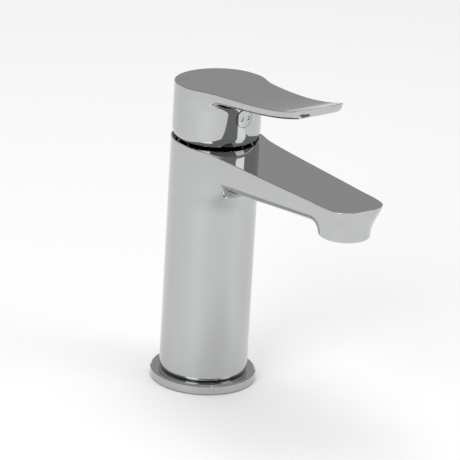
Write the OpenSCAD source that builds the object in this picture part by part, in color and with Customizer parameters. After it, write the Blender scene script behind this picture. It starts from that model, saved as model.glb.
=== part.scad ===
// Single-lever basin mixer. Millimetres, +Z up, +X towards the spout, origin on the deck under the barrel.

/* [Barrel] */
// Outer diameter of the barrel
barrel_d = 45; // [42:0.5:52]
// Height of the barrel's flat top above the deck
barrel_h = 129.5; // [112:0.5:156]
// Wall of the hollow barrel
barrel_wall = 3; // [2.5:0.25:4]
// Bevel round the barrel's top
top_edge = 0.4; // [0.2:0.1:0.5]
// Round at the foot of the barrel
foot_round = 2; // [1:0.5:3]
// Height of the solid bridge that carries the inlets, below the cartridge seat
bridge_h = 24; // [20:1:30]

/* [Base ring] */
// Diameter of the base ring
ring_d = 53.8; // [50:0.2:62]
// Height of the ring's top above the deck
ring_h = 5.2; // [4:0.2:8]
// Round on the ring's upper rim
ring_round = 0.8; // [0.4:0.1:1.2]
// Diameter of the barrel's spigot inside the ring
spigot_d = 42; // [41:0.5:43]
// Thickness of the rubber gasket
gasket_h = 1.6; // [1.2:0.1:2.4]
// How far the gasket stands out below the ring
gasket_proud = 0.6; // [0.3:0.1:1]

/* [Spout] */
// Barrel axis to nozzle axis
reach = 106; // [90:1:130]
// Spout top beyond the nozzle axis
nose = 15; // [14:0.5:20]
// Half width of the spout at the nozzle
spout_half_w = 15.3; // [14.5:0.2:18]
// Half width of the spout where it leaves the barrel
spout_root_half_w = 20.1; // [18.5:0.2:21.5]
// Depth of the spout at the nozzle
spout_depth = 13.2; // [12:0.4:16]
// How much deeper the spout is at the barrel axis, along its nearly level underside
spout_taper = 8.8; // [4:0.4:11]
// Height of the cove where the spout leaves the barrel
spout_root_drop = 14; // [10:1:20]
// Diameter of the nozzle
nozzle_d = 25.2; // [24:0.2:28]
// Height of the nozzle's rim below the barrel's top
nozzle_drop = 17; // [15:0.5:20]
// Diameter of the waterway in the spout
waterway_d = 9; // [7:0.5:9]

/* [Aerator] */
// Diameter of the aerator's thread, M21.5 x 1
aerator_d = 21.5; // [18.5:0.5:21.5]
// Height of the aerator shell
aerator_h = 9; // [8:0.5:10]

/* [Cartridge] */
// Diameter of the cartridge
cartridge_d = 25; // [24:0.5:26]
// Height of the lever pivot above the barrel's top
pivot_up = 6.5; // [6:0.5:8]
// Pivot to the stem's driving ball
arm = 11; // [10:0.5:12]
// Lean of the stem when the lever is closed, in degrees
stem_lean = 10; // [8:0.5:12]

/* [Lever] */
// Outer diameter of the lever's skirt
skirt_d = 44.4; // [41:0.2:46]
// Gap between the barrel's top and the skirt
skirt_gap = 0.9; // [0.8:0.1:1.6]
// Wall of the skirt
skirt_wall = 2.2; // [1.8:0.1:2.6]
// Barrel axis to the lever's tip
lever_l = 84; // [65:1:100]
// Half width of the lever at its tip
lever_half_w = 15; // [12:0.5:16]
// Thickness of the lever near its tip
lever_t = 4.4; // [3:0.1:5]
// Height of the lever's top above the barrel's top, over the barrel axis
lever_up = 29.5; // [28:0.5:34]
// Rise of the tip's top above that height
tip_rise = 11.5; // [8:0.5:14]
// Diameter of the hot and cold index plug
plug_d = 9.4; // [7:0.2:10]

/* [Connections] */
// Tapped bore of the hose inlets, for an M10 x 1 hose end
inlet_bore_d = 9; // [9:0.1:9.2]
// Depth of the hose inlets
inlet_depth = 12; // [10:1:14]
// Barrel axis to each hose inlet, along X
inlet_x = 6; // [5:0.5:7]
// Barrel axis to each hose inlet, along Y
inlet_y = 8; // [7.5:0.5:9]
// Tapped bore of the fixing stud, for an M8 stud
stud_bore_d = 6.8; // [6.8:0.1:7]
// Barrel axis to the fixing stud
stud_x = 12; // [11.5:0.5:13]
// Height of the stud's boss
stud_h = 15; // [12:1:18]

/* [Hidden] */
$fn = 72;
slack = 0.1;    // clearance between pieces that are pushed together
running = 0.2;  // clearance between pieces that move on each other
huge = 400;

barrel_r = barrel_d / 2;
bore_r = barrel_r - barrel_wall;
ring_r = ring_d / 2;
spigot_r = spigot_d / 2;
gasket_r = ring_r - 1.4;
nozzle_r = nozzle_d / 2;
nozzle_z = barrel_h - nozzle_drop;
skirt_r = skirt_d / 2;
skirt_z = barrel_h + skirt_gap;
skirt_in = skirt_r - skirt_wall;
skirt_tuck = 1.3;                      // how far the skirt's lower rim draws in
skirt_tuck_h = 5;
rim_in = skirt_in - 1.4;               // inner radius of the drawn-in rim
pivot_z = barrel_h + pivot_up;
cartridge_r = cartridge_d / 2;
chamber_r = cartridge_r + slack;

// Heights of the cartridge, counted from the pivot down
ball_r = 2.5;
ball_z = pivot_z - arm;
carrier_top = ball_z + 2;
carrier_h = 4.5;
disc_top = carrier_top - carrier_h;
disc_h = 3;
fixed_top = disc_top - disc_h;
fixed_h = 4;
base_top = fixed_top - fixed_h - 0.4;
base_h = 3;
seat_z = base_top - base_h - 0.4;      // floor of the cartridge chamber
shoulder_z = pivot_z - 5;              // top of the wide part of the housing
neck_z = pivot_z + 3.6;                // top of the neck
neck_r = cartridge_r - 2;
swivel_r = neck_r - 1.6;
swivel_flange_r = cartridge_r - 1.8;
swivel_flange_h = 2.2;
housing_in = cartridge_r - 1.5;
disc_room = 1.5;                       // space left round the sliding disc at the end of its travel
disc_r = housing_in - arm * sin(stem_lean) - disc_room;
fixed_r = cartridge_r - 2;
swing = 45;                            // how far the lever turns to each side, in degrees
stop_r = cartridge_r - 0.5;
stop_h = 1.4;
key_r = swivel_r + 1.4;                // reach of the key that meets the stop ring
key_half = 15;                         // half of the key's width, in degrees
port_r = 2.2;
port_angle = 52.4;                     // hot and cold ports, from the back of the cartridge
port_ring = cartridge_r - 5.94;
port_x = port_ring * cos(port_angle);
port_y = port_ring * sin(port_angle);
outlet_x = cartridge_r - 6.5;
seal_t = 0.4;                          // height of the seals once squeezed
nut_r = chamber_r + 0.9;
nut_h = 4.5;
turret_r = nut_r + 1.4;
turret_z = shoulder_z + nut_h;
recess_r = skirt_r - 0.6; // opening in the barrel's top, round the skirt's rim
recess_z = barrel_h - 7;
bridge_z = seat_z - bridge_h;

// Lever stem and its socket, along an axis that leans forward
stem_w = 6;
stem_up = 19;
hub_r = 7;
plug_proud = 0.4;                      // how far the index plug stands out of the skirt
hub_z = 6.6;                           // lower end of the hub above the pivot
screw_z = pivot_z + 9.5;
screw_r = 2.5;
plug_r = plug_d / 2;
ceiling_z = barrel_h + lever_up - 4;

// Side line of the lever's top: a gentle rise that curls up at the tip
function lever_top(x) = barrel_h + lever_up + tip_rise * (0.45 * x / lever_l + 0.55 * pow(max(x, 0) / lever_l, 4));
// Underside of the blade, thinner towards the tip
function lever_under(x) = lever_top(x) - lever_t - 1.6 * pow(1 - min(x / lever_l, 1), 1.5);
// Half width of the blade: from the skirt's width to the tip's, in one easy curve
function lever_half(x) = lever_half_w + (skirt_r - lever_half_w) * pow(1 - min(max(x / lever_l, 0), 1), 2.2);
function spout_half(x) = spout_half_w + (spout_root_half_w - spout_half_w) * (1 - x / reach)
    + (barrel_r - spout_root_half_w) * pow(1 - min(x / 40, 1), 2);
// Underside of the spout: a cove at the barrel, then nearly level
function spout_under(x) = barrel_h - spout_depth - spout_taper * (1 - x / reach)
    - spout_root_drop * pow(1 - min(max((x - barrel_r) / 30, 0), 1), 3);

module ring(r_out, r_in, h) {
    difference() {
        cylinder(r = r_out, h = h);
        translate([0, 0, -1]) cylinder(r = r_in, h = h + 2);
    }
}

module bore(r, z0, z1) {
    translate([0, 0, z0]) cylinder(r = r, h = z1 - z0);
}

// A rod between two points of the plane y = 0
module rod(r, a, b) {
    d = b - a;
    translate([a[0], 0, a[1]]) rotate([0, atan2(d[0], d[1]), 0]) cylinder(r = r, h = norm(d));
}

// A side outline in x and z, given a width along y
module slab(points, half_w) {
    translate([0, half_w, 0]) rotate([90, 0, 0]) linear_extrude(2 * half_w) polygon(points);
}

// The three water ports of the cartridge: hot, cold and mixed
module at_ports() {
    for (side = [-1, 1]) translate([-port_x, side * port_y, 0]) children();
    translate([outlet_x, 0, 0]) children();
}

module port_rings(z, h) {
    color("black") at_ports() translate([0, 0, z]) ring(port_r + 0.9, port_r, h);
}

module spout_plan() {
    end_x = reach + nose;
    corner = 7;
    xs = [for (i = [0 : 12]) i * (end_x - corner) / 12];
    near = [for (x = xs) [x, -spout_half(x)]];
    far = [for (i = [12 : -1 : 0]) [xs[i], spout_half(xs[i])]];
    w = spout_half(end_x - corner);
    tip = [for (a = [-75 : 15 : -15]) [end_x - corner + corner * cos(a), -w + corner + corner * sin(a)]];
    tip_far = [for (a = [15 : 15 : 75]) [end_x - corner + corner * cos(a), w - corner + corner * sin(a)]];
    polygon(concat(near, tip, [[end_x + 0.6, 0]], tip_far, far));
}

module spout_side() {
    end_x = reach + nose;
    xs = [for (i = [0 : 14]) barrel_r + i * (reach - 4 - barrel_r) / 14];
    under = [for (x = xs) [x, spout_under(x)]];
    polygon(concat([[0, barrel_h], [0, spout_under(barrel_r)]], under,
        [[reach + nozzle_r, nozzle_z + 5.5], [end_x - 0.8, barrel_h - 3.5], [end_x + 1, barrel_h - 1.5],
         [end_x + 1, barrel_h]]));
}

module spout_solid() {
    intersection() {
        translate([0, 0, nozzle_z - 40]) linear_extrude(nozzle_drop + 40) spout_plan();
        translate([0, barrel_r + 5, 0]) rotate([90, 0, 0]) linear_extrude(2 * barrel_r + 10) spout_side();
    }
}

module barrel_solid() {
    rotate_extrude() polygon([[0, gasket_proud], [spigot_r, gasket_proud], [spigot_r, ring_h],
        [barrel_r - foot_round, ring_h], [barrel_r - foot_round * 0.3, ring_h + foot_round * 0.3],
        [barrel_r, ring_h + foot_round], [barrel_r, barrel_h - top_edge], [barrel_r - top_edge, barrel_h],
        [0, barrel_h]]);
}

module inlets() {
    for (side = [-1, 1]) translate([-inlet_x, side * inlet_y, 0]) children();
}

module body() {
    color("silver") difference() {
        union() {
            barrel_solid();
            spout_solid();
            translate([reach, 0, nozzle_z]) cylinder(r = nozzle_r, h = nozzle_drop - 4);
            bore(turret_r, recess_z - 1, turret_z);
        }
        // hollow barrel, left open below, with the stud's boss standing in it
        difference() {
            bore(bore_r, -1, bridge_z);
            translate([stud_x, 0, ring_h]) cylinder(r = bore_r - stud_x, h = stud_h);
            translate([stud_x, -(bore_r - stud_x), ring_h]) cube([barrel_r - stud_x - 0.5,
                2 * (bore_r - stud_x), stud_h]);
        }
        translate([stud_x, 0, ring_h - 1]) cylinder(r = stud_bore_d / 2, h = stud_h + 2);
        // recess that the skirt's rim dips into
        difference() {
            bore(recess_r, recess_z, barrel_h + 1);
            bore(turret_r, recess_z - 1, barrel_h + 2);
        }
        // cartridge chamber, with the nut's thread above it
        bore(chamber_r, seat_z, turret_z + 1);
        bore(nut_r + slack, shoulder_z, turret_z + 1);
        // hot and cold: hose inlets from below, ports from above
        inlets() bore(inlet_bore_d / 2, bridge_z - 1, bridge_z + inlet_depth);
        for (side = [-1, 1]) feed_port(side);
        // mixed water: down from the seat, forward under the chamber, along the spout to the nozzle
        translate([outlet_x, 0, 0]) bore(port_r, seat_z - 10, seat_z + 1);
        rod(3, [outlet_x, seat_z - 10], [reach - 68, barrel_h - 8]);
        translate([reach - 76, 0, barrel_h - 8]) rotate([0, 90, 0]) cylinder(d = waterway_d, h = 76);
        translate([reach, 0, nozzle_z - 1]) cylinder(r = aerator_d / 2 + slack, h = aerator_h + 2.6);
        translate([reach, 0, nozzle_z]) cylinder(r = aerator_d / 2 - 2, h = nozzle_drop - 4);
    }
}

// A port from the seat to the hose inlet, on one side
module feed_port(side) {
    translate([-port_x, side * port_y, 0]) bore(port_r, bridge_z + inlet_depth - 3, seat_z + 1);
}

module base_ring() {
    color("silver") difference() {
        rotate_extrude() polygon([[spigot_r + slack, gasket_proud], [ring_r, gasket_proud],
            [ring_r, ring_h - ring_round], [ring_r - ring_round, ring_h], [spigot_r + slack, ring_h]]);
        translate([0, 0, -1]) cylinder(r = gasket_r + slack, h = gasket_h + 1);
    }
}

module base_gasket() {
    color("black") difference() {
        cylinder(r = gasket_r, h = gasket_h);
        translate([0, 0, gasket_proud]) cylinder(r = spigot_r + slack, h = gasket_h);
        translate([0, 0, -1]) cylinder(r = spigot_r - 1, h = gasket_h + 2);
    }
}

module cartridge_housing() {
    color("ivory") difference() {
        union() {
            bore(cartridge_r, base_top - 1, shoulder_z);
            bore(neck_r, shoulder_z - 1, neck_z);
        }
        bore(housing_in, base_top - 2, shoulder_z - 1.6);
        bore(swivel_r + running, shoulder_z - 2, neck_z + 1);
    }
}

module cartridge_base() {
    color("gainsboro") difference() {
        union() {
            bore(cartridge_r, base_top - base_h, base_top - 1);
            bore(cartridge_r - 1.6, base_top - 1.5, base_top);
        }
        at_ports() bore(port_r, base_top - base_h - 1, base_top + 1);
    }
}

module port_seals() {
    port_rings(seat_z, seal_t);
}

module disc_seals() {
    port_rings(base_top, seal_t);
}

module fixed_disc() {
    color("white") difference() {
        bore(fixed_r, base_top + seal_t, fixed_top);
        at_ports() bore(port_r, base_top, fixed_top + 1);
    }
}

// Where the sliding disc stands when the lever is closed, behind the axis
module at_slide() {
    translate([-arm * sin(stem_lean), 0, 0]) children();
}

module moving_disc() {
    color("whitesmoke") at_slide() difference() {
        bore(disc_r, fixed_top, disc_top);
        bore(4.2, fixed_top - 1, fixed_top + 1.6);
    }
}

module disc_carrier() {
    color("ivory") at_slide() difference() {
        bore(disc_r, disc_top, carrier_top);
        translate([-ball_r - running, -3, ball_z - ball_r - running]) cube([2 * (ball_r + running), 6, carrier_h + 1]);
    }
}

module swivel_guide() {
    slot_half = 5.2;
    key_x = key_r * cos(key_half);
    key_y = (swivel_r + running) * sin(key_half - 1);
    color("dimgray") difference() {
        union() {
            bore(swivel_flange_r, shoulder_z - 1.6 - running - swivel_flange_h, shoulder_z - 1.6 - running);
            bore(swivel_r, shoulder_z - 3, neck_z + stop_h);
            translate([-key_x, -key_y, neck_z + running]) cube([key_x - swivel_r + 2, 2 * key_y, stop_h - running]);
        }
        translate([-slot_half, -stem_w / 2 - running, shoulder_z - 10]) cube([2 * slot_half, stem_w + 2 * running, huge]);
        translate([0, 0, pivot_z]) rotate([90, 0, 0]) translate([0, 0, -huge / 2]) cylinder(r = 1.25, h = huge);
    }
}

module pivot_pin() {
    half = swivel_r - 0.4;
    color("gray") translate([0, half, pivot_z]) rotate([90, 0, 0]) cylinder(r = 1.25, h = 2 * half);
}

// The stem's own frame: upright through the pivot, then leant forward
module lean() {
    translate([0, 0, pivot_z]) rotate([0, stem_lean, 0]) children();
}

module lever_stem() {
    color("goldenrod") lean() difference() {
        union() {
            translate([-stem_w / 2, -stem_w / 2, -2]) cube([stem_w, stem_w, stem_up + 2]);
            translate([-2.2, -2.2, -arm]) cube([4.4, 4.4, arm]);
            translate([0, 2.4, -arm]) rotate([90, 0, 0]) cylinder(r = ball_r, h = 4.8);
        }
        translate([0, stem_w, 0]) rotate([90, 0, 0]) cylinder(r = 1.3, h = 2 * stem_w);
    }
}

// The window behind the axis in which the guide's key swings
module stop_window() {
    half = swing + key_half;
    w = [huge * cos(half), huge * sin(half)];
    linear_extrude(2 * stop_h + 2, center = true)
        polygon([[0, 0], [-w[0], -w[1]], [-huge, -w[1]], [-huge, w[1]], [-w[0], w[1]]]);
}

module stop_ring() {
    color("firebrick") translate([0, 0, neck_z]) difference() {
        ring(stop_r, swivel_r + running, stop_h);
        intersection() {
            stop_window();
            translate([0, 0, -1]) cylinder(r = key_r + running, h = stop_h + 2);
        }
    }
}

module retaining_nut() {
    color("peru") difference() {
        bore(nut_r, shoulder_z, turret_z);
        bore(neck_r + 1, shoulder_z - 1, turret_z + 1);
        for (a = [0, 90]) rotate(a) translate([-1.5, -nut_r - 1, turret_z - 1.8]) cube([3, 2 * nut_r + 2, 3]);
    }
}

module skirt_solid() {
    rotate_extrude() polygon([[0, skirt_z], [skirt_r - skirt_tuck, skirt_z],
        [skirt_r - 0.35 * skirt_tuck, skirt_z + 0.45 * skirt_tuck_h], [skirt_r, skirt_z + skirt_tuck_h],
        [skirt_r, huge], [0, huge]]);
}

module blade_plan() {
    n = 16;
    corner = 4;
    xs = [for (i = [0 : n]) i * (lever_l - corner) / n];
    w = lever_half(lever_l - corner);
    polygon(concat([for (x = xs) [x, -lever_half(x)]],
        [for (a = [-60 : 30 : 0]) [lever_l - corner + corner * cos(a), -w + corner + corner * sin(a)]],
        [for (a = [0 : 30 : 60]) [lever_l - corner + corner * cos(a), w - corner + corner * sin(a)]],
        [for (i = [n : -1 : 0]) [xs[i], lever_half(xs[i])]]));
}

module lever_top_cut() {
    n = 20;
    start = -skirt_r - 1;
    slab(concat([for (i = [0 : n]) let (x = start + i * (lever_l + 2 - start) / n) [x, lever_top(x)]],
        [[lever_l + 2, huge], [start, huge]]), skirt_r + 1);
}

module lever_under_cut() {
    n = 20;
    slab(concat([for (i = [n : -1 : 0]) let (x = i * (lever_l + 2) / n) [x, lever_under(x)]],
        [[0, 0], [lever_l + 2, 0]]), skirt_r + 1);
}

module lever_handle() {
    color("silver") difference() {
        union() {
            difference() {
                skirt_solid();
                bore(skirt_in, skirt_z + skirt_tuck_h, ceiling_z);
                translate([0, 0, skirt_z - 1]) cylinder(r = rim_in, h = skirt_tuck_h + 2);
                lever_top_cut();
            }
            difference() {
                translate([0, 0, skirt_z]) linear_extrude(60) blade_plan();
                lever_top_cut();
                lever_under_cut();
                bore(skirt_in, 0, ceiling_z);
            }
            intersection() {
                lean() translate([0, 0, hub_z]) cylinder(r = hub_r, h = 40);
                bore(skirt_in, 0, ceiling_z + 1);
            }
        }
        lean() translate([-stem_w / 2 - 0.05, -stem_w / 2 - 0.05, -2]) cube([stem_w + 0.1, stem_w + 0.1, stem_up + 2.2]);
        translate([0, 0, screw_z]) rotate([0, 90, 0]) cylinder(r = screw_r, h = skirt_in);
        translate([hub_r, 0, screw_z]) rotate([0, 90, 0]) cylinder(r = plug_r, h = skirt_r);
    }
}

module grub_screw() {
    face_x = (screw_z - pivot_z) * tan(stem_lean) + stem_w / 2 / cos(stem_lean);
    start = face_x + 1.1;
    color("dimgray") translate([start, 0, screw_z]) rotate([0, 90, 0]) difference() {
        union() {
            cylinder(r = screw_r - 0.02, h = 4.4);
            translate([0, 0, -0.85]) cylinder(r = 1, h = 1);
        }
        translate([0, 0, 2]) cylinder(d = 2.9, h = 4, $fn = 6);
    }
}

module index_plug() {
    color("silver") intersection() {
        difference() {
            translate([skirt_in - 1.5, 0, screw_z]) rotate([0, 90, 0]) cylinder(r = plug_r - 0.04, h = 10);
            for (side = [-1, 1]) translate([skirt_r - 0.5, side * plug_r * 0.42, screw_z]) rotate([0, 90, 0])
                cylinder(r = plug_r * 0.3, h = 4);
        }
        bore(skirt_r + plug_proud, 0, huge);
    }
}

module at_nozzle(z) {
    translate([reach, 0, nozzle_z + z]) children();
}

module aerator_shell() {
    color("lightgray") at_nozzle(0.4) difference() {
        cylinder(r = aerator_d / 2, h = aerator_h);
        translate([0, 0, 1]) cylinder(r = aerator_d / 2 - 1.4, h = aerator_h);
        translate([0, 0, -1]) cylinder(r = aerator_d / 2 - 2.6, h = 3);
        for (a = [0 : 45 : 135]) rotate(a) translate([-0.7, -huge / 2, -1]) intersection() {
            cube([1.4, huge, 1.6]);
            translate([0.7, huge / 2, -1]) cylinder(r = aerator_d / 2 - 1.5, h = 4);
        }
    }
}

module aerator_insert() {
    color("ghostwhite") at_nozzle(2.2) difference() {
        cylinder(r = aerator_d / 2 - 1.5, h = aerator_h - 4);
        for (r = [2.6, 5.4], i = [0 : 7]) rotate(i * 45 + r * 4) translate([r, 0, -1])
            cylinder(r = 0.55 + r / 12, h = aerator_h);
    }
}

module aerator_screen() {
    color("gray") at_nozzle(1.4) difference() {
        cylinder(r = aerator_d / 2 - 1.5, h = 0.7);
        for (i = [-4 : 4], j = [-4 : 4]) if (norm([i, j]) < 4.2) translate([i * 1.7 - 0.55, j * 1.7 - 0.55, -1])
            cube([1.1, 1.1, 3]);
    }
}

module aerator_seal() {
    color("black") at_nozzle(0.4 + aerator_h) ring(aerator_d / 2 - 0.1, aerator_d / 2 - 3, 1.2);
}

body();
base_ring();
base_gasket();
cartridge_housing();
cartridge_base();
port_seals();
disc_seals();
fixed_disc();
moving_disc();
disc_carrier();
swivel_guide();
pivot_pin();
lever_stem();
stop_ring();
retaining_nut();
lever_handle();
grub_screw();
index_plug();
aerator_shell();
aerator_insert();
aerator_screen();
aerator_seal();
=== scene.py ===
# %% [markdown]
# # A single-lever basin mixer in polished chrome
# The CAD model gives the main sizes and every joint. This script gives the looks: a cast body whose spout
# grows out of the barrel with no seam, a lever made the same way, and a finish for each of the small pieces.

# %% Frame
import math

import bmesh
import bpy
import numpy as np
from mathutils import Euler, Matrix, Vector


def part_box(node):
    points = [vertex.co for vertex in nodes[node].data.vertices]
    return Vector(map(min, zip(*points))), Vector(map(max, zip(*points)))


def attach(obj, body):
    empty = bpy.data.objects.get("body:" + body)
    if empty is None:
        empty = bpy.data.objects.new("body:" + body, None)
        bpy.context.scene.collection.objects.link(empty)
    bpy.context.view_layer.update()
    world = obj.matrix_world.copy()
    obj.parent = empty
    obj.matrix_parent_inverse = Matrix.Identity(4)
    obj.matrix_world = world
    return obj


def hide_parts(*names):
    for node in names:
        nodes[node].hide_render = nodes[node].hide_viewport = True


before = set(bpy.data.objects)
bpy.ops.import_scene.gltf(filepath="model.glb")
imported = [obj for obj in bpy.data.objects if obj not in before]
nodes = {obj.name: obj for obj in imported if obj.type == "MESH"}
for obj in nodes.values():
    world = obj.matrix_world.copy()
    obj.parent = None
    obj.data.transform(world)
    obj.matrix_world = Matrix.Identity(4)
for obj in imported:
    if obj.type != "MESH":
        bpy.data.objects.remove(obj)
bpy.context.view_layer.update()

MM = 0.001

# %% [markdown]
# ## Sizes taken from the frame
# A node's box says where it is, so most sizes don't have to be given twice. The heights inside a piece, and
# the shape between its limits, such as how the spout narrows, are this script's own.

# %% Sizes in millimetres
def box_mm(node):
    low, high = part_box(node)
    return low / MM, high / MM


body_low, body_high = box_mm("body")
ring_low, ring_high = box_mm("base_ring")
handle_low, handle_high = box_mm("lever_handle")
shell_low, shell_high = box_mm("aerator_shell")
nut_low, nut_high = box_mm("retaining_nut")
plug_low, plug_high = box_mm("index_plug")

BARREL_R = body_high.y
BARREL_TOP = 129.5
TIP_X = body_high.x - 0.6
NOZZLE_X = (shell_low.x + shell_high.x) / 2
NOZZLE_Z = shell_low.z - 0.4
NOZZLE_R = 12.6
SKIRT_R = handle_high.y
SKIRT_Z = handle_low.z
LEVER_TIP = handle_high.x
print("barrel", round(BARREL_R, 2), "skirt", round(SKIRT_R, 2))
print("nozzle at", round(NOZZLE_X, 2), round(NOZZLE_Z, 2))

# %% [markdown]
# ## Camera
# A catalogue picture of a tap is taken from far away with a long lens, so that its sides stay nearly
# parallel. The camera looks down a little, from the hot side and in front.

# %% Camera
VIEW_FROM = math.radians(37.6)
VIEW_DOWN = math.radians(20.55)
VIEW_ROLL = math.radians(3.36)
VIEW_DISTANCE = 1.94
POINTS_PER_MM = 1.984
AIM_ASIDE = 0.0098
AIM_UP = 0.0798
IMAGE_SIDE = 460


def add_camera(aim, roll):
    data = bpy.data.cameras.new("camera")
    data.sensor_width = 36
    data.lens = POINTS_PER_MM / MM * VIEW_DISTANCE / IMAGE_SIDE * data.sensor_width
    data.clip_end = 50
    camera = bpy.data.objects.new("camera", data)
    bpy.context.scene.collection.objects.link(camera)
    towards = Vector((math.cos(VIEW_FROM) * math.cos(VIEW_DOWN), -math.sin(VIEW_FROM) * math.cos(VIEW_DOWN),
                      math.sin(VIEW_DOWN)))
    camera.location = aim + towards * VIEW_DISTANCE
    turn = towards.to_track_quat("Z", "Y")
    camera.rotation_euler = (turn.to_matrix() @ Euler((0, 0, roll)).to_matrix()).to_euler()
    bpy.context.scene.camera = camera
    return towards


side = Vector((math.sin(VIEW_FROM), math.cos(VIEW_FROM), 0))
towards = add_camera(side * AIM_ASIDE + Vector((0, 0, AIM_UP)), VIEW_ROLL)
print("camera looks from", tuple(round(c, 3) for c in towards))

# %% [markdown]
# ## One smooth skin from a formula
# The real body is cast and polished, so where the spout meets the barrel there is no line at all. A boolean
# union would leave a hard seam there. Instead the rough union is remeshed into even faces, and each point is
# then moved onto a field: a distance formula that is zero on the surface. Two fields are joined by a soft
# minimum, and the wider it is, the rounder the fillet between them.

# %% Fields
def soft_min(a, b, width):
    h = np.clip(0.5 + 0.5 * (b - a) / width, 0, 1)
    return b + (a - b) * h - width * h * (1 - h)


def soft_max(a, b, width):
    return -soft_min(-a, -b, width)


def smooth_step(t):
    t = np.clip(t, 0, 1)
    return t * t * (3 - 2 * t)


def gradient(field, p, step=0.01):
    g = np.empty_like(p)
    for axis in range(3):
        d = np.zeros(3)
        d[axis] = step
        g[:, axis] = (field(p + d) - field(p - d)) / (2 * step)
    return g


def onto_field(field, p, rounds=6, reach=0.8):
    for _ in range(rounds):
        g = gradient(field, p)
        step = (field(p) / np.maximum((g * g).sum(1), 0.05))[:, None] * g
        size = np.linalg.norm(step, axis=1)[:, None]
        p = p - step * np.minimum(1, reach / np.maximum(size, 1e-9))
    return p


# %% [markdown]
# ## From a rough solid to an even skin
# The voxel remesh joins whatever solids it is given. Its points are relaxed and put back on the field a few
# times, which evens out the faces and leaves each point on the formula's surface.

# %% Skin maker
def mesh_object(name, bm):
    mesh = bpy.data.meshes.new(name)
    bm.to_mesh(mesh)
    bm.free()
    obj = bpy.data.objects.new(name, mesh)
    bpy.context.scene.collection.objects.link(obj)
    return obj


def applied(obj):
    bpy.context.view_layer.update()
    graph = bpy.context.evaluated_depsgraph_get()
    mesh = bpy.data.meshes.new_from_object(obj.evaluated_get(graph))
    obj.modifiers.clear()
    obj.data = mesh
    return obj


def skin_from(rough, field, voxel=1.0, relax=6):
    """Takes closed solids and gives back one even skin lying on the field, both in millimetres."""
    obj = mesh_object("rough", rough)
    remesh = obj.modifiers.new("remesh", "REMESH")
    remesh.mode = "VOXEL"
    remesh.voxel_size = voxel
    applied(obj)
    bm = bmesh.new()
    bm.from_mesh(obj.data)
    bpy.data.objects.remove(obj)
    for turn in range(relax + 1):
        if turn:
            bmesh.ops.smooth_vert(bm, verts=bm.verts, factor=0.5, use_axis_x=True, use_axis_y=True,
                                  use_axis_z=True)
        p = onto_field(field, np.array([v.co for v in bm.verts], float))
        for v, q in zip(bm.verts, p):
            v.co = q
    return bm


def cylinder(bm, r, z0, z1, at=(0, 0), sides=96):
    made = bmesh.ops.create_cone(bm, cap_ends=True, segments=sides, radius1=r, radius2=r, depth=z1 - z0)
    bmesh.ops.translate(bm, verts=made["verts"], vec=(at[0], at[1], (z0 + z1) / 2))


def block(bm, low, high):
    made = bmesh.ops.create_cube(bm, size=1)
    low, high = Vector(low), Vector(high)
    bmesh.ops.scale(bm, verts=made["verts"], vec=high - low)
    bmesh.ops.translate(bm, verts=made["verts"], vec=(low + high) / 2)


# %% [markdown]
# ## The body
# Seen from above, the spout leaves the barrel at full width and draws in towards the nozzle. Its underside
# has round lower corners and sweeps down into the barrel. All of it ends in one flat plane on top.

# %% Body field
SPOUT_DEPTH = 13.2
SPOUT_TAPER = 8.8
SPOUT_HALF = 15.3
ROOT_WIDER = 4.8
ROOT_FLARE = 2.4
FLARE_END = 40
LOWER_CORNER = 15
NOSE_BOW = 0.004
NOSE_LEAN = 5.2
NOSE_H = 12
TOP_FILLET = 6
COVE_WIDER = 11
NOZZLE_FILLET = 5


def spout_half(x):
    flare = ROOT_FLARE * np.clip(1 - x / FLARE_END, 0, 3) ** 2
    return SPOUT_HALF + ROOT_WIDER * (1 - x / NOZZLE_X) + flare


def spout_field(p):
    x, y, z = p[:, 0], np.abs(p[:, 1]), p[:, 2]
    bottom = BARREL_TOP - SPOUT_DEPTH - SPOUT_TAPER * (1 - x / NOZZLE_X)
    walls = soft_max(y - spout_half(x), bottom - z, LOWER_CORNER)
    rise = np.clip((BARREL_TOP - z) / NOSE_H, 0, 1.3)
    end = x - (TIP_X + 0.4 - NOSE_BOW * y * y - NOSE_LEAN * rise ** 1.6)
    return soft_max(soft_max(walls, end, 8), 7 - x, 6)


def body_field(p):
    barrel = np.hypot(p[:, 0], p[:, 1]) - BARREL_R
    nozzle = np.hypot(p[:, 0] - NOZZLE_X, p[:, 1]) - NOZZLE_R
    cove = smooth_step((BARREL_TOP - p[:, 2] - 4) / 22) * smooth_step((p[:, 0] + 4) / 26)
    whole = soft_min(barrel, spout_field(p), TOP_FILLET + COVE_WIDER * cove)
    return soft_min(whole, nozzle, NOZZLE_FILLET)


# %% [markdown]
# ## Joining the skin to the turned walls
# The skin is cut open at the top, at the foot and under the nozzle. Each opening is then closed by a turned
# wall: bridge_loops joins two loops that have different counts of points, and triangle_fill closes a flat face.

# %% Joins
def trim(bm, z, keep_below, where=None):
    """Cuts the skin at a height. Returns the open edges that the cut leaves."""
    faces = [f for f in bm.faces if where is None or where(f.calc_center_median())]
    edges = {e for f in faces for e in f.edges}
    verts = {v for f in faces for v in f.verts}
    bmesh.ops.bisect_plane(bm, geom=list(verts) + list(edges) + faces, dist=0.01, plane_co=(0, 0, z),
                           plane_no=(0, 0, 1 if keep_below else -1), clear_outer=True, clear_inner=False)
    return [e for e in bm.edges if e.is_boundary and all(abs(v.co.z - z) < 0.02 for v in e.verts)]


def extruded(bm, edges, move):
    """Extrudes open edges and moves each new point by a rule. Returns the new open edges."""
    made = bmesh.ops.extrude_edge_only(bm, edges=edges)["geom"]
    for v in made:
        if isinstance(v, bmesh.types.BMVert):
            v.co = move(v.co)
    return [e for e in made if isinstance(e, bmesh.types.BMEdge) and e.is_boundary]


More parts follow.
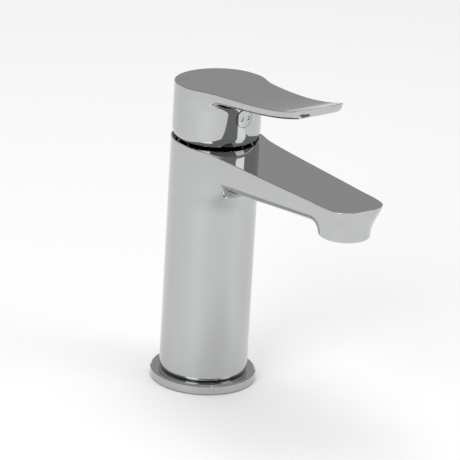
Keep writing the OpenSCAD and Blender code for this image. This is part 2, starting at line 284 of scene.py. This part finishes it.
def turned(bm, profile, at=(0, 0), steps=128):
    """Spins a chain of (radius, height) points. A point on the axis closes the wall there."""
    chain = [bm.verts.new((at[0] + r, at[1], z)) for r, z in profile]
    edges = [bm.edges.new(pair) for pair in zip(chain[:-1], chain[1:])]
    bmesh.ops.spin(bm, geom=chain + edges, cent=(at[0], at[1], 0), axis=(0, 0, 1), angle=math.tau, steps=steps,
                   use_merge=True, use_duplicate=False)
    ends = []
    for r, z in (profile[0], profile[-1]):
        loop = [e for e in bm.edges if e.is_boundary and all(
            abs(v.co.z - z) < 1e-3 and abs(math.hypot(v.co.x - at[0], v.co.y - at[1]) - r) < 1e-3
            for v in e.verts)]
        ends.append(loop)
    return ends


def arc(centre, r, start, stop, count=6):
    angles = [math.radians(start + (stop - start) * i / count) for i in range(count + 1)]
    return [(centre[0] + r * math.cos(a), centre[1] + r * math.sin(a)) for a in angles]


def finished(name, bm, field, top_normal, top_at, sharp=28):
    """Closes a millimetre bmesh, gives the object in metres, and shades the skin by its field.

    The skin's shading is read from the field and not from the faces, so a mirror finish shows no facets. The
    bevel turns from the skin's shading to the flat top's across its one row of faces."""
    bmesh.ops.remove_doubles(bm, verts=bm.verts, dist=0.005)
    bmesh.ops.recalc_face_normals(bm, faces=bm.faces)
    loose = sum(1 for e in bm.edges if not e.is_manifold)
    bmesh.ops.scale(bm, verts=bm.verts, vec=(MM, MM, MM))
    obj = mesh_object(name, bm)
    obj.data.polygons.foreach_set("use_smooth", [True] * len(obj.data.polygons))
    mesh = obj.data
    mesh.set_sharp_from_angle(angle=math.radians(sharp))
    shading = np.array([n.vector for n in mesh.corner_normals], float)
    points = np.array([v.co for v in mesh.vertices], float) / MM
    slopes = gradient(field, points)
    slopes /= np.maximum(np.linalg.norm(slopes, axis=1), 1e-9)[:, None]
    on_skin = np.abs(field(points)) < 0.02
    for face in mesh.polygons:
        ids = [mesh.loops[i].vertex_index for i in face.loop_indices]
        flat_top = [points[i][2] > top_at(points[i]) - 0.02 for i in ids]
        if all(flat_top) and face.normal.z > 0.6:
            for loop, i in zip(face.loop_indices, ids):
                shading[loop] = top_normal(points[i])
            continue
        if all(on_skin[i] or top for i, top in zip(ids, flat_top)) and any(on_skin[i] for i in ids):
            for loop, i, top in zip(face.loop_indices, ids, flat_top):
                shading[loop] = top_normal(points[i]) if top and not on_skin[i] else slopes[i]
    mesh.normals_split_custom_set(shading.tolist())
    print(name, "faces", len(obj.data.polygons), "open or extra edges", loose)
    return obj


# %% [markdown]
# ## Building the body
# The inside of the barrel and the pocket for the aerator are turned. The bores for the hoses, the fixing stud
# and the waterway are only in the CAD solid: the hollow ends here in a flat ceiling.

# %% Body skin
SKIN_FOOT = 78
OVER = 8
TOP_EDGE = 0.35
RECESS_R = 21.6
RECESS_Z = 122.5
TURRET_R = nut_high.y + 1.4
THREAD_R = nut_high.y + 0.1
CHAMBER_R = 12.6
FOOT_R = 2.0
RIM_R = 0.6
RING_TOP = ring_high.z
SPIGOT_R = ring_high.y - 5.9
HOLLOW_R = BARREL_R - 3
HOLLOW_TOP = 87.7
POCKET_R = shell_high.y + 0.1


def inwards(field, size):
    """A rule that moves a point into the solid by a size, level with itself, and up by the same size."""
    def move(co):
        g = gradient(field, np.array([co], float))[0]
        level = Vector((g[0], g[1], 0)).normalized()
        return co - level * size + Vector((0, 0, size))
    return move


def under_nozzle(c):
    return c.z < NOZZLE_Z + 3 and math.hypot(c.x - NOZZLE_X, c.y) < NOZZLE_R + 1


def build_body():
    bm = bmesh.new()
    cylinder(bm, BARREL_R, SKIN_FOOT - OVER, BARREL_TOP + OVER)
    cylinder(bm, NOZZLE_R, NOZZLE_Z - 4, BARREL_TOP, at=(NOZZLE_X, 0))
    block(bm, (0, -16, BARREL_TOP - 13), (TIP_X - 3, 16, BARREL_TOP + OVER))
    block(bm, (0, -16, BARREL_TOP - 30), (32, 16, BARREL_TOP))
    bm = skin_from(bm, body_field)
    rim = trim(bm, BARREL_TOP - TOP_EDGE, True)
    foot = trim(bm, SKIN_FOOT, False, where=lambda c: c.x < 60)
    lip = trim(bm, NOZZLE_Z + RIM_R, False, where=under_nozzle)
    rim = extruded(bm, rim, inwards(body_field, TOP_EDGE))
    mouth, _ = turned(bm, [(RECESS_R, BARREL_TOP), (RECESS_R, RECESS_Z), (TURRET_R, RECESS_Z),
                           (TURRET_R, nut_high.z), (THREAD_R, nut_high.z), (THREAD_R, nut_low.z),
                           (CHAMBER_R, nut_low.z), (CHAMBER_R, nut_low.z - 18), (0, nut_low.z - 18)])
    bmesh.ops.triangle_fill(bm, use_beauty=True, use_dissolve=False, edges=rim + mouth)
    wall = [(BARREL_R, SKIN_FOOT - 1), (BARREL_R, RING_TOP + FOOT_R)]
    wall += arc((BARREL_R - FOOT_R, RING_TOP + FOOT_R), FOOT_R, 0, -90)[1:]
    wall += [(SPIGOT_R, RING_TOP), (SPIGOT_R, body_low.z), (HOLLOW_R, body_low.z), (HOLLOW_R, HOLLOW_TOP),
             (0, HOLLOW_TOP)]
    top, _ = turned(bm, wall)
    bmesh.ops.bridge_loops(bm, edges=foot + top)
    nose = arc((NOZZLE_R - RIM_R, NOZZLE_Z + RIM_R), RIM_R, 0, -90, 4)
    nose[0] = (NOZZLE_R, NOZZLE_Z + RIM_R - 0.05)
    nose += [(POCKET_R + 0.3, NOZZLE_Z), (POCKET_R, NOZZLE_Z + 0.3), (POCKET_R, shell_high.z + 1.2),
             (0, shell_high.z + 1.2)]
    top, _ = turned(bm, nose, at=(NOZZLE_X, 0), steps=96)
    print("lip", len(lip), "nozzle ring", len(top), "foot", len(foot))
    bmesh.ops.bridge_loops(bm, edges=lip + top)
    return finished("cast_body", bm, body_field, lambda p: (0, 0, 1), lambda p: BARREL_TOP)


body = build_body()

# %% [markdown]
# ## The lever
# The lever is a skirt and a blade in one casting. Its top is one surface that is straight across and curls
# up towards the tip. The cut is made flat, with the curl taken out of the mesh, and the curl is put back after.
# One wide face can't bend, so the top is closed by thin triangles that run across. The hub, the screw's hole
# and the plug's hole are only in the CAD solid.

# %% Lever field
LEVER_UP = 29.5
TIP_RISE = 11.5
CURVE_END = LEVER_TIP
SKIRT_TUCK = 1.3
SKIRT_TUCK_H = 5
LEVER_HALF = 14.9
SHOULDER = 6.6
EDGE_THICK = 4.4
ROOT_THICKER = 1.6


def lever_curl(x):
    t = x / CURVE_END
    return TIP_RISE * (0.45 * t + 0.55 * np.clip(t, 0, 2) ** 4)


def lever_half(x):
    return LEVER_HALF + SHOULDER * np.clip(1 - x / CURVE_END, 0, 1.3) ** 2.6


def lever_field(p):
    x, y, z = p[:, 0], np.abs(p[:, 1]), p[:, 2]
    tuck = np.clip((SKIRT_Z + SKIRT_TUCK_H - z) / SKIRT_TUCK_H, 0, 1.6)
    skirt = np.hypot(x, y) - (SKIRT_R - SKIRT_TUCK * tuck ** 2)
    flat = z - lever_curl(x)
    thick = EDGE_THICK + ROOT_THICKER * np.clip(1 - x / CURVE_END, 0, 1) ** 1.5
    under = BARREL_TOP + LEVER_UP - thick - flat
    blade = soft_max(y - lever_half(x), under, 4)
    blade = soft_max(blade, x - (CURVE_END - 0.008 * y * y), 4)
    blade = soft_max(blade, 4 - x, 6)
    return soft_min(skirt, blade, 6)


CAVITY_R = SKIRT_R - 2.2
CAVITY_RIM_R = CAVITY_R - 1.4
CEILING_Z = BARREL_TOP + LEVER_UP - 4
PLUG_Z = (plug_low.z + plug_high.z) / 2


def lever_top_normal(p):
    slope = (lever_curl(p[0] + 0.01) - lever_curl(p[0] - 0.01)) / 0.02
    return Vector((-slope, 0, 1)).normalized()


def capped_across(bm, rim):
    """Closes a rim with thin triangles that run from side to side, so the cap can bend lengthwise."""
    beside = {}
    for edge in rim:
        for v in edge.verts:
            beside.setdefault(v, []).append(edge.other_vert(v))
    start = min(beside, key=lambda v: v.co.x)
    end = max(beside, key=lambda v: v.co.x)
    sides = []
    for second in beside[start]:
        chain = [start, second]
        while chain[-1] != end:
            one, other = beside[chain[-1]]
            chain.append(other if one == chain[-2] else one)
        sides.append(chain)
    left, right = sides
    i = 0
    j = 0
    while i < len(left) - 1 or j < len(right) - 1:
        left_next = j == len(right) - 1 or (i < len(left) - 1 and left[i + 1].co.x <= right[j + 1].co.x)
        corners = [left[i], right[j], left[i + 1] if left_next else right[j + 1]]
        i += left_next
        j += not left_next
        if len(set(corners)) == 3:
            bm.faces.new(corners)


def build_lever():
    top = BARREL_TOP + LEVER_UP
    bm = bmesh.new()
    cylinder(bm, SKIRT_R, SKIRT_Z - OVER, top + OVER)
    block(bm, (0, -14, top - 6), (LEVER_TIP - 2, 14, top + OVER))
    for x in range(10, 80, 10):
        bmesh.ops.bisect_plane(bm, geom=bm.verts[:] + bm.edges[:] + bm.faces[:], dist=0.01, plane_co=(x, 0, 0),
                               plane_no=(1, 0, 0))
    for v in bm.verts:
        v.co.z += float(lever_curl(v.co.x)) if v.co.z > top - 10 else 0
    bm = skin_from(bm, lever_field, voxel=0.8)
    for v in bm.verts:
        v.co.z -= float(lever_curl(v.co.x))
    rim = trim(bm, top - TOP_EDGE, True)
    def straightened(p):
        return lever_field(p + np.c_[0 * p[:, :2], lever_curl(p[:, 0])])

    rim = extruded(bm, rim, inwards(straightened, TOP_EDGE))
    capped_across(bm, rim)
    for v in bm.verts:
        v.co.z += float(lever_curl(v.co.x))
    foot = trim(bm, SKIRT_Z + 0.3, False, where=lambda c: c.z < SKIRT_Z + 8)
    low_r = SKIRT_R - SKIRT_TUCK
    inside = [(low_r - 0.05, SKIRT_Z + 0.2), (low_r - 0.3, SKIRT_Z), (CAVITY_RIM_R + 0.3, SKIRT_Z),
              (CAVITY_RIM_R, SKIRT_Z + 0.3), (CAVITY_RIM_R, SKIRT_Z + SKIRT_TUCK_H),
              (CAVITY_R, SKIRT_Z + SKIRT_TUCK_H), (CAVITY_R, CEILING_Z), (0, CEILING_Z)]
    top_loop, _ = turned(bm, inside)
    bmesh.ops.bridge_loops(bm, edges=foot + top_loop)
    return finished("lever_casting", bm, lever_field, lever_top_normal,
                    lambda p: BARREL_TOP + LEVER_UP + lever_curl(p[0]))


lever = build_lever()

# %% [markdown]
# ## Pieces ride on bodies
# The two castings stand in for the CAD solids of the same pieces, and move with them.

# %% Riding
for piece, node, ride_on in ((body, "body", "root"), (lever, "lever_handle", "lever")):
    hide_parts(node)
    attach(piece, ride_on)


# %% [markdown]
# ## Shader maths as plain expressions
# Wrapping a socket in a small class lets a pattern be written as a formula instead of a tangle of nodes.

# %% Shader helper
class Wire:
    def __init__(self, tree, socket):
        self.tree = tree
        self.socket = socket

    def math(self, operation, other, swap=False):
        pair = (other, self) if swap else (self, other)
        return node(self.tree, "ShaderNodeMath", {"operation": operation}, {0: pair[0], 1: pair[1]})

    def __add__(self, other):
        return self.math("ADD", other)

    def __mul__(self, other):
        return self.math("MULTIPLY", other)

    def __sub__(self, other):
        return self.math("SUBTRACT", other)

    def __rsub__(self, other):
        return self.math("SUBTRACT", other, swap=True)

    def above(self, other):
        return self.math("GREATER_THAN", other)

    __radd__ = __add__
    __rmul__ = __mul__


def node(tree, kind, settings=None, inputs=None, output=0):
    made = tree.nodes.new(kind)
    for name, value in (settings or {}).items():
        setattr(made, name, value)
    for name, value in (inputs or {}).items():
        socket = made.inputs[name]
        if isinstance(value, Wire):
            tree.links.new(value.socket, socket)
        else:
            socket.default_value = value
    return Wire(tree, made.outputs[output])


def new_material(name, **constants):
    material = bpy.data.materials.new(name)
    material.use_nodes = True
    shader = material.node_tree.nodes["Principled BSDF"]
    for socket, value in constants.items():
        shader.inputs[socket.replace("_", " ")].default_value = value
    return material, material.node_tree, shader


def noise(tree, scale, detail=3.0, stretch=(1, 1, 1)):
    place = node(tree, "ShaderNodeTexCoord", output=3)
    place = node(tree, "ShaderNodeMapping", {}, {"Vector": place, "Scale": stretch})
    return node(tree, "ShaderNodeTexNoise", {}, {"Vector": place, "Scale": scale, "Detail": detail})


def feed(tree, wire, shader, socket):
    tree.links.new(wire.socket, shader.inputs[socket])


def mix_colour(tree, factor, a, b):
    return node(tree, "ShaderNodeMix", {"data_type": "RGBA"}, {"Factor": factor, "A": a, "B": b}, output=2)


# %% [markdown]
# ## Finishes
# Polished chrome is a mirror with a faint cloudiness from buffing. The rest are the usual ones inside a tap:
# moulded plastics, lapped ceramic, turned brass, rubber and steel.

# %% Finish makers
def rough_material(name, colour, low, high, scale=900, metal=0.0, bump=0.0, stretch=(1, 1, 1), tint=0.06):
    material, tree, shader = new_material(name, Metallic=metal)
    speck = noise(tree, scale, stretch=stretch)
    feed(tree, speck * (high - low) + low, shader, "Roughness")
    dark = tuple(c * (1 - tint) for c in colour) + (1,)
    feed(tree, mix_colour(tree, speck, dark, tuple(colour) + (1,)), shader, "Base Color")
    if bump:
        bumped = node(tree, "ShaderNodeBump", {}, {"Strength": bump, "Distance": 0.0002, "Height": speck})
        feed(tree, bumped, shader, "Normal")
    return material


chrome = rough_material("polished_chrome", (0.50, 0.505, 0.51), 0.03, 0.07, scale=60, metal=1.0, tint=0.02)
satin = rough_material("satin_chrome", (0.72, 0.725, 0.73), 0.16, 0.26, scale=700, metal=1.0)
steel = rough_material("steel", (0.55, 0.55, 0.56), 0.22, 0.4, scale=500, metal=1.0, stretch=(1, 1, 6))
brass = rough_material("brass", (0.78, 0.58, 0.30), 0.2, 0.38, scale=400, metal=1.0, stretch=(1, 1, 8))
rubber = rough_material("rubber", (0.018, 0.018, 0.019), 0.55, 0.8, bump=0.3)
white_plastic = rough_material("housing_plastic", (0.84, 0.84, 0.81), 0.4, 0.55, bump=0.15)
grey_plastic = rough_material("guide_plastic", (0.2, 0.21, 0.23), 0.4, 0.6, bump=0.15)
red_plastic = rough_material("red_plastic", (0.6, 0.04, 0.03), 0.35, 0.5, bump=0.1)
ceramic = rough_material("ceramic", (0.9, 0.89, 0.86), 0.12, 0.2, scale=300)


# %% [markdown]
# ## The index plug
# The plug is chrome with a dark line round its rim. Hot and cold are marked by a red and a blue dot, on the
# floors of its two recesses.

# %% Index plug
PLUG_RIM = 0.0044
DOT_ASIDE = 0.0016
DOT_R = 0.001


def index_chrome():
    material, tree, shader = new_material("index_chrome", Metallic=1.0)
    place = node(tree, "ShaderNodeTexCoord", output=3)
    split = tree.nodes.new("ShaderNodeSeparateXYZ")
    tree.links.new(place.socket, split.inputs[0])
    y = Wire(tree, split.outputs[1])
    z = Wire(tree, split.outputs[2]) - PLUG_Z * MM
    dots = []
    for side in (-1, 1):
        across = y - side * DOT_ASIDE
        away = across * across + z * z
        dots.append(1 - away.above(DOT_R ** 2))
    colour = mix_colour(tree, dots[0], (0.50, 0.505, 0.51, 1), (0.62, 0.02, 0.015, 1))
    colour = mix_colour(tree, dots[1], colour, (0.02, 0.08, 0.5, 1))
    rim = (y * y + z * z).above(PLUG_RIM ** 2)
    colour = mix_colour(tree, rim, colour, (0.06, 0.06, 0.06, 1))
    feed(tree, colour, shader, "Base Color")
    paint = dots[0] + dots[1]
    feed(tree, 1 - paint, shader, "Metallic")
    feed(tree, paint * 0.25 + 0.05, shader, "Roughness")
    return material


index_finish = index_chrome()

# %% [markdown]
# ## Giving each piece its finish
# Each CAD node is named once with the finish it wears. The two castings share the polished chrome.

# %% Finishes on pieces
FINISH = {
    "base_ring": chrome, "base_gasket": rubber, "cartridge_housing": white_plastic,
    "cartridge_base": white_plastic, "port_seals": rubber, "disc_seals": rubber, "fixed_disc": ceramic,
    "moving_disc": ceramic, "disc_carrier": grey_plastic, "swivel_guide": grey_plastic, "pivot_pin": steel,
    "lever_stem": brass, "stop_ring": red_plastic, "retaining_nut": brass, "grub_screw": steel,
    "index_plug": index_finish, "aerator_shell": satin, "aerator_insert": white_plastic,
    "aerator_screen": steel, "aerator_seal": rubber,
}
for name, material in FINISH.items():
    nodes[name].data.materials.clear()
    nodes[name].data.materials.append(material)
for piece in (body, lever):
    piece.data.materials.append(chrome)
print("finishes on", len(FINISH) + 2, "pieces")

# %% [markdown]
# ## Studio
# Chrome shows only what stands round it. A pale floor and large soft panels give it even tones, and the gaps
# between the panels draw its edges.

# %% Studio
FLOOR_WHITE = (0.97, 0.97, 0.97, 1)


def add_floor():
    bm = bmesh.new()
    bmesh.ops.create_grid(bm, x_segments=1, y_segments=1, size=6)
    floor = mesh_object("studio_floor", bm)
    material, _, shader = new_material("floor_white", Roughness=0.6)
    shader.inputs["Base Color"].default_value = FLOOR_WHITE
    floor.data.materials.append(material)


def add_panel(name, at, size, power):
    data = bpy.data.lights.new(name, "AREA")
    data.shape = "RECTANGLE"
    data.size, data.size_y = size
    data.energy = power
    light = bpy.data.objects.new(name, data)
    light.location = at
    light.rotation_euler = Vector(at).to_track_quat("Z", "Y").to_euler()
    bpy.context.scene.collection.objects.link(light)


def add_world(strength):
    world = bpy.data.worlds.new("studio")
    bpy.context.scene.world = world
    world.use_nodes = True
    background = world.node_tree.nodes["Background"]
    background.inputs["Color"].default_value = (1, 1, 1, 1)
    background.inputs["Strength"].default_value = strength


add_floor()
add_world(0.42)
add_panel("key", (0.6, -1.4, 1.0), (0.9, 1.2), 10)
add_panel("fill", (1.4, 0.9, 0.9), (0.8, 1.2), 5.5)
add_panel("top", (-0.2, 0.1, 2.2), (1.6, 1.6), 25)
bpy.context.scene.view_settings.view_transform = "Standard"

bpy.context.view_layer.update()
